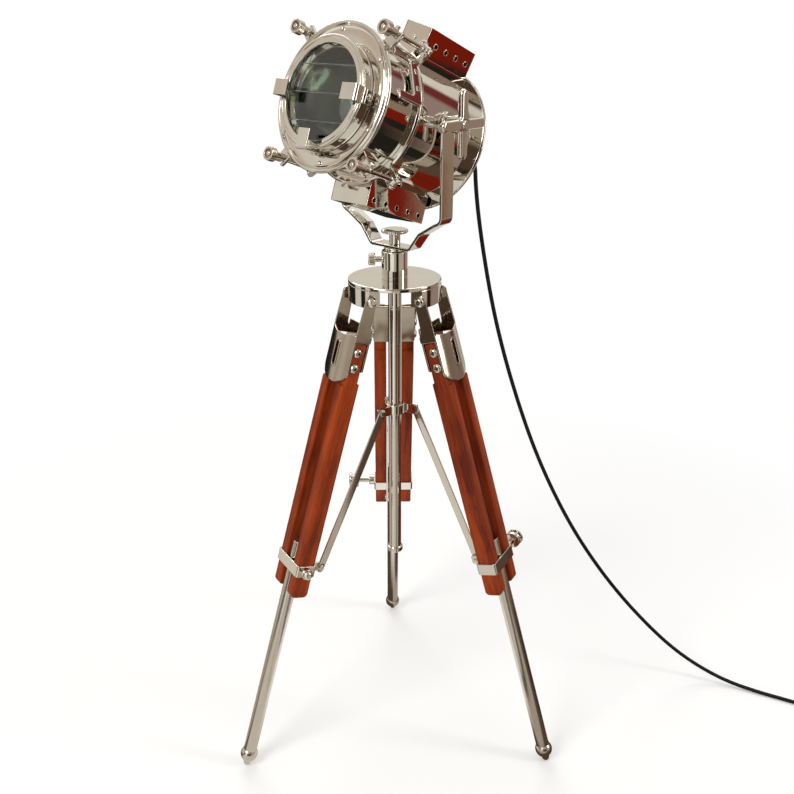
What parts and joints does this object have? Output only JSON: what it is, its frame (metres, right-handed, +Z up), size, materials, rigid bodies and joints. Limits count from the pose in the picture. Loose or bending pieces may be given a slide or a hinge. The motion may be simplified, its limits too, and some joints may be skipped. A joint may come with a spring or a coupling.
{
  "type": "tripod searchlight lamp",
  "caption": "Tabletop searchlight with a polished drum on a tilting yoke, a folding wooden tripod with braces and sliding metal feet, and a trailing cord.",
  "frame": {"origin": "on the floor under the centre of the stand's column", "axes": "+Z up, +X to the viewer's right, +Y away from the viewer; the lamp faces forward and left of -Y, tilted up"},
  "size_m": [0.7519, 0.3258, 0.7811],
  "materials": {
    "nickel": "polished nickel plate",
    "satin_steel": "satin drawn tube",
    "wood": "red-brown varnished hardwood",
    "front_glass": "clear glass with polished edges",
    "bulb_glass": "frosted bulb glass",
    "bright_reflector": "bright spun bowl",
    "porcelain": "glazed lampholder",
    "black_plastic": "moulded black",
    "cord_cover": "matt black sleeved lead"
  },
  "bodies": {
    "stand": {"crown": "nickel", "column_tube": "nickel", "leg_hinge_pins": "nickel", "pan_socket": "nickel"},
    "collar": {"brace_collar": "nickel"},
    "pan_lock": {"pan_lock_screw": "nickel"},
    "yoke": {"yoke": "nickel", "yoke_stud": "nickel", "cord_tube": "cord_cover", "cord_coil": "cord_cover", "plug": "black_plastic", "plug_pins": "nickel"},
    "yoke_knob": {"yoke_knob": "nickel"},
    "head": {"drum": "nickel", "back_cover": "nickel", "trunnions": "nickel", "door_ring": "nickel", "door_hinge": "nickel", "bezel": "nickel", "glass": "front_glass", "reflector": "bright_reflector", "lampholder": "porcelain", "bulb": "bulb_glass", "vent_top": "nickel", "vent_bottom": "nickel", "filter_clips": "nickel", "bolt_clevises": "nickel", "cord_gland": "black_plastic"},
    "nut_left": {"tilt_nut_left": "nickel"},
    "nut_right": {"tilt_nut_right": "nickel"},
    "switch": {"switch_knob": "black_plastic"},
    "leg_1": {"leg_1_rails": "wood", "leg_1_head_bracket": "nickel", "leg_1_screws": "nickel", "leg_1_clamp": "nickel"},
    "leg_1_lock": {"leg_1_clamp_knob": "nickel"},
    "foot_1": {"leg_1_extension": "satin_steel"},
    "brace_1_link": {"brace_1": "nickel"},
    "leg_2": {"leg_2_rails": "wood", "leg_2_head_bracket": "nickel", "leg_2_screws": "nickel", "leg_2_clamp": "nickel"},
    "leg_2_lock": {"leg_2_clamp_knob": "nickel"},
    "foot_2": {"leg_2_extension": "satin_steel"},
    "brace_2_link": {"brace_2": "nickel"},
    "leg_3": {"leg_3_rails": "wood", "leg_3_head_bracket": "nickel", "leg_3_screws": "nickel", "leg_3_clamp": "nickel"},
    "leg_3_lock": {"leg_3_clamp_knob": "nickel"},
    "foot_3": {"leg_3_extension": "satin_steel"},
    "brace_3_link": {"brace_3": "nickel"},
    "bolt_1": {"swing_bolt_1": "nickel"},
    "bolt_nut_1": {"swing_nut_1": "nickel"},
    "bolt_2": {"swing_bolt_2": "nickel"},
    "bolt_nut_2": {"swing_nut_2": "nickel"},
    "bolt_3": {"swing_bolt_3": "nickel"},
    "bolt_nut_3": {"swing_nut_3": "nickel"},
    "bolt_4": {"swing_bolt_4": "nickel"},
    "bolt_nut_4": {"swing_nut_4": "nickel"}
  },
  "joints": [
    {"name": "leg_1_fold", "type": "hinge", "parent": "stand", "child": "leg_1", "pos_m": [-0.03517, -0.02107, 0.5255], "axis": [0.514, -0.8578, 0], "range_deg": [0, 16.54]},
    {"name": "leg_1_lock_turn", "type": "hinge", "parent": "leg_1", "child": "leg_1_lock", "pos_m": [-0.08879, -0.09401, 0.24438], "axis": [0.514, -0.8578, 0], "continuous": true},
    {"name": "foot_1_slide", "type": "slide", "parent": "leg_1", "child": "foot_1", "axis": [0.2442, 0.1463, 0.9586], "range_m": [0, 0.178]},
    {"name": "leg_2_fold", "type": "hinge", "parent": "stand", "child": "leg_2", "pos_m": [0.03583, -0.01992, 0.5255], "axis": [0.4859, 0.874, 0], "range_deg": [0, 16.54]},
    {"name": "leg_2_lock_turn", "type": "hinge", "parent": "leg_2", "child": "leg_2_lock", "pos_m": [0.12581, -0.02989, 0.24438], "axis": [0.4859, 0.874, 0], "continuous": true},
    {"name": "foot_2_slide", "type": "slide", "parent": "leg_2", "child": "foot_2", "axis": [-0.2488, 0.1383, 0.9586], "range_m": [0, 0.178]},
    {"name": "leg_3_fold", "type": "hinge", "parent": "stand", "child": "leg_3", "pos_m": [-0.00067, 0.04099, 0.5255], "axis": [-0.9999, -0.0162, 0], "range_deg": [0, 16.54]},
    {"name": "leg_3_lock_turn", "type": "hinge", "parent": "leg_3", "child": "leg_3_lock", "pos_m": [-0.03702, 0.1239, 0.24438], "axis": [-0.9999, -0.0162, 0], "continuous": true},
    {"name": "foot_3_slide", "type": "slide", "parent": "leg_3", "child": "foot_3", "axis": [0.0046, -0.2846, 0.9586], "range_m": [0, 0.178]},
    {"name": "collar_slide", "type": "slide", "parent": "stand", "child": "collar", "axis": [0, 0, 1], "range_m": [0, 0.0155]},
    {"name": "brace_1_swing", "type": "hinge", "parent": "collar", "child": "brace_1_link", "pos_m": [-0.01716, -0.01028, 0.3965], "axis": [0.514, -0.8578, 0], "range_deg": [0, 28.5]},
    {"name": "brace_2_swing", "type": "hinge", "parent": "collar", "child": "brace_2_link", "pos_m": [0.01748, -0.00972, 0.3965], "axis": [0.4859, 0.874, 0], "range_deg": [0, 28.5]},
    {"name": "brace_3_swing", "type": "hinge", "parent": "collar", "child": "brace_3_link", "pos_m": [-0.00032, 0.02, 0.3965], "axis": [-0.9999, -0.0162, 0], "range_deg": [0, 28.5]},
    {"name": "pan_lock_turn", "type": "hinge", "parent": "stand", "child": "pan_lock", "pos_m": [-0.02, 0, 0.558], "axis": [-1, 0, 0], "continuous": true},
    {"name": "pan", "type": "hinge", "parent": "stand", "child": "yoke", "pos_m": [0, 0, 0.5673], "axis": [0, 0, 1], "continuous": true},
    {"name": "yoke_knob_turn", "type": "hinge", "parent": "yoke", "child": "yoke_knob", "pos_m": [0, 0, 0.58], "axis": [0, 0, 1], "continuous": true},
    {"name": "tilt", "type": "hinge", "parent": "yoke", "child": "head", "pos_m": [0, 0, 0.6934], "axis": [-0.7399, 0.6728, 0], "range_deg": [-50, 15]},
    {"name": "nut_left_turn", "type": "hinge", "parent": "head", "child": "nut_left", "pos_m": [0.05549, -0.05046, 0.6934], "axis": [0.7399, -0.6728, 0], "continuous": true},
    {"name": "nut_right_turn", "type": "hinge", "parent": "head", "child": "nut_right", "pos_m": [-0.05549, 0.05046, 0.6934], "axis": [0.7399, -0.6728, 0], "continuous": true},
    {"name": "switch_turn", "type": "hinge", "parent": "head", "child": "switch", "pos_m": [0.01477, 0.05489, 0.66863], "axis": [-0.631, -0.6939, 0.3469], "range_deg": [0, 90]},
    {"name": "bolt_1_swing", "type": "hinge", "parent": "head", "child": "bolt_1", "pos_m": [0.02547, -0.05106, 0.75578], "axis": [-0.3819, 0.6671, 0.6396], "range_deg": [0, 80]},
    {"name": "bolt_nut_1_turn", "type": "hinge", "parent": "bolt_1", "child": "bolt_nut_1", "pos_m": [-0.00292, -0.08228, 0.77139], "axis": [-0.631, -0.6939, 0.3469], "continuous": true},
    {"name": "bolt_2_swing", "type": "hinge", "parent": "head", "child": "bolt_2", "pos_m": [-0.05324, 0.02052, 0.75578], "axis": [-0.7003, 0.317, -0.6396], "range_deg": [0, 80]},
    {"name": "bolt_nut_2_turn", "type": "hinge", "parent": "bolt_2", "child": "bolt_nut_2", "pos_m": [-0.08164, -0.01071, 0.77139], "axis": [-0.631, -0.6939, 0.3469], "continuous": true},
    {"name": "bolt_3_swing", "type": "hinge", "parent": "head", "child": "bolt_3", "pos_m": [-0.07987, -0.00877, 0.64878], "axis": [0.3819, -0.6671, -0.6396], "range_deg": [0, 80]},
    {"name": "bolt_nut_3_turn", "type": "hinge", "parent": "bolt_3", "child": "bolt_nut_3", "pos_m": [-0.10827, -0.04, 0.66439], "axis": [-0.631, -0.6939, 0.3469], "continuous": true},
    {"name": "bolt_4_swing", "type": "hinge", "parent": "head", "child": "bolt_4", "pos_m": [-0.00116, -0.08034, 0.64878], "axis": [0.7003, -0.317, 0.6396], "range_deg": [0, 80]},
    {"name": "bolt_nut_4_turn", "type": "hinge", "parent": "bolt_4", "child": "bolt_nut_4", "pos_m": [-0.02955, -0.11157, 0.66439], "axis": [-0.631, -0.6939, 0.3469], "continuous": true}
  ],
  "couplings": [
    {"joint": "brace_1_swing", "follows": "leg_1_fold", "ratio": 1.6955},
    {"joint": "brace_2_swing", "follows": "leg_1_fold", "ratio": 1.6955},
    {"joint": "brace_3_swing", "follows": "leg_1_fold", "ratio": 1.6955},
    {"joint": "collar_slide", "follows": "leg_1_fold", "m_per_rad": 0.05228},
    {"joint": "leg_2_fold", "follows": "leg_1_fold", "ratio": 1},
    {"joint": "leg_3_fold", "follows": "leg_1_fold", "ratio": 1}
  ]
}
